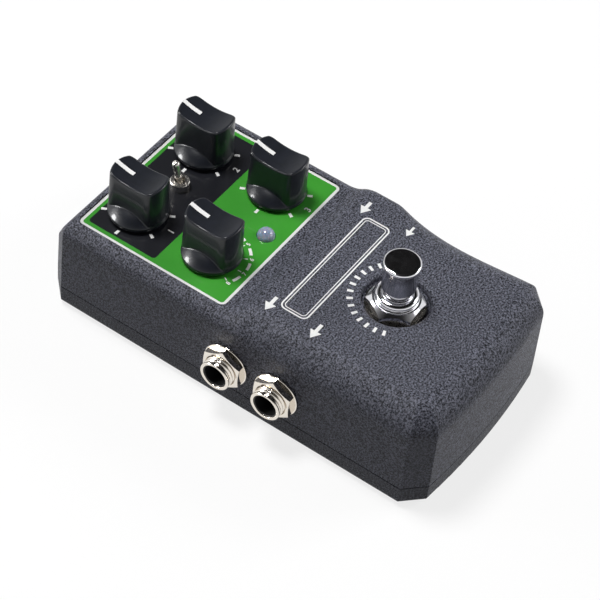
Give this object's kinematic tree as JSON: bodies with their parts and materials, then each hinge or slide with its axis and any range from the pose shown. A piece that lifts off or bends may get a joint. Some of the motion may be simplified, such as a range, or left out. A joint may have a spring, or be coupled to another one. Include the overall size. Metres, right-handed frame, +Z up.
{
  "type": "echo effects pedal",
  "caption": "Compact stereo echo pedal: die-cast case, printed control plate with bar-grip knobs, toggle and lamp, dished metal footswitch, side jacks.",
  "frame": {"origin": "on the floor under the middle of the case", "axes": "+X to the player's right, +Y away from the player towards the knob end, +Z up"},
  "size_m": [0.074, 0.122, 0.0485],
  "materials": {
    "case_paint": "textured charcoal powder coat",
    "tray_paint": "textured charcoal powder coat",
    "black_steel": "black oxide",
    "rubber": "matte moulded rubber",
    "printed_plate": "glossy green and black print",
    "knob_gloss": "glossy black moulding",
    "shaft_metal": "turned",
    "switch_metal": "stamped",
    "switch_plastic": "moulded",
    "nickel": "bright nickel plate",
    "chrome": "polished chrome plate",
    "spring_steel": "drawn wire",
    "tin": "tinned",
    "contact_metal": "sprung strip",
    "lamp_lens": "diffused clear epoxy",
    "black_plastic": "moulded",
    "board_laminate": "glass epoxy laminate",
    "chip_epoxy": "moulded epoxy",
    "can_aluminium": "drawn can"
  },
  "bodies": {
    "case": {"top_shell": "case_paint", "base_tray": "tray_paint", "base_screws": "black_steel", "rubber_feet": "rubber", "control_panel": "printed_plate", "pot_nuts": "nickel", "toggle_body": "switch_metal", "toggle_nut": "chrome", "led_lamp": "lamp_lens", "led_spacer": "black_plastic", "led_leads": "tin", "footswitch_body": "switch_plastic", "footswitch_bush": "chrome", "footswitch_washer": "nickel", "footswitch_nut": "chrome", "footswitch_spring": "spring_steel", "footswitch_pins": "tin", "jack_nuts": "nickel", "jack_washers": "nickel", "dc_inlet_body": "black_plastic", "dc_inlet_pin": "tin", "main_board": "board_laminate", "control_board": "board_laminate", "board_screws": "black_steel", "board_header": "black_plastic", "processor_chip": "chip_epoxy", "converter_chip": "chip_epoxy", "filter_capacitors": "can_aluminium", "pot_body_rear_left": "switch_metal", "pot_body_rear_right": "switch_metal", "pot_body_front_left": "switch_metal", "pot_body_front_right": "switch_metal", "jack_body_left_rear": "black_plastic", "jack_bush_left_rear": "nickel", "jack_contact_left_rear": "contact_metal", "jack_body_left_front": "black_plastic", "jack_bush_left_front": "nickel", "jack_contact_left_front": "contact_metal", "jack_body_right_rear": "black_plastic", "jack_bush_right_rear": "nickel", "jack_contact_right_rear": "contact_metal", "jack_body_right_front": "black_plastic", "jack_bush_right_front": "nickel", "jack_contact_right_front": "contact_metal"},
    "knob_rear_left": {"knob_rear_left": "knob_gloss", "pot_shaft_rear_left": "shaft_metal"},
    "knob_rear_right": {"knob_rear_right": "knob_gloss", "pot_shaft_rear_right": "shaft_metal"},
    "knob_front_left": {"knob_front_left": "knob_gloss", "pot_shaft_front_left": "shaft_metal"},
    "knob_front_right": {"knob_front_right": "knob_gloss", "pot_shaft_front_right": "shaft_metal"},
    "toggle": {"toggle_lever": "chrome"},
    "footswitch": {"footswitch_button": "chrome"}
  },
  "joints": [
    {"name": "knob_rear_left_turn", "type": "hinge", "parent": "case", "child": "knob_rear_left", "pos_m": [-0.01465, 0.0431, 0.0315], "axis": [0, 0, -1], "range_deg": [-150, 150]},
    {"name": "knob_rear_right_turn", "type": "hinge", "parent": "case", "child": "knob_rear_right", "pos_m": [0.01465, 0.0431, 0.0315], "axis": [0, 0, -1], "range_deg": [-150, 150]},
    {"name": "knob_front_left_turn", "type": "hinge", "parent": "case", "child": "knob_front_left", "pos_m": [-0.01465, 0.019, 0.0315], "axis": [0, 0, -1], "range_deg": [-150, 150]},
    {"name": "knob_front_right_turn", "type": "hinge", "parent": "case", "child": "knob_front_right", "pos_m": [0.01465, 0.019, 0.0315], "axis": [0, 0, -1], "range_deg": [-150, 150]},
    {"name": "toggle_swing", "type": "hinge", "parent": "case", "child": "toggle", "pos_m": [0, 0.0404, 0.0306], "axis": [1, 0, 0], "range_deg": [0, 24]},
    {"name": "footswitch_press", "type": "slide", "parent": "case", "child": "footswitch", "axis": [0, 0, -1], "range_m": [0, 0.002], "stiffness_N_per_m": 3000, "springref_m": -0.002, "deforming": ["footswitch_spring"]}
  ]
}
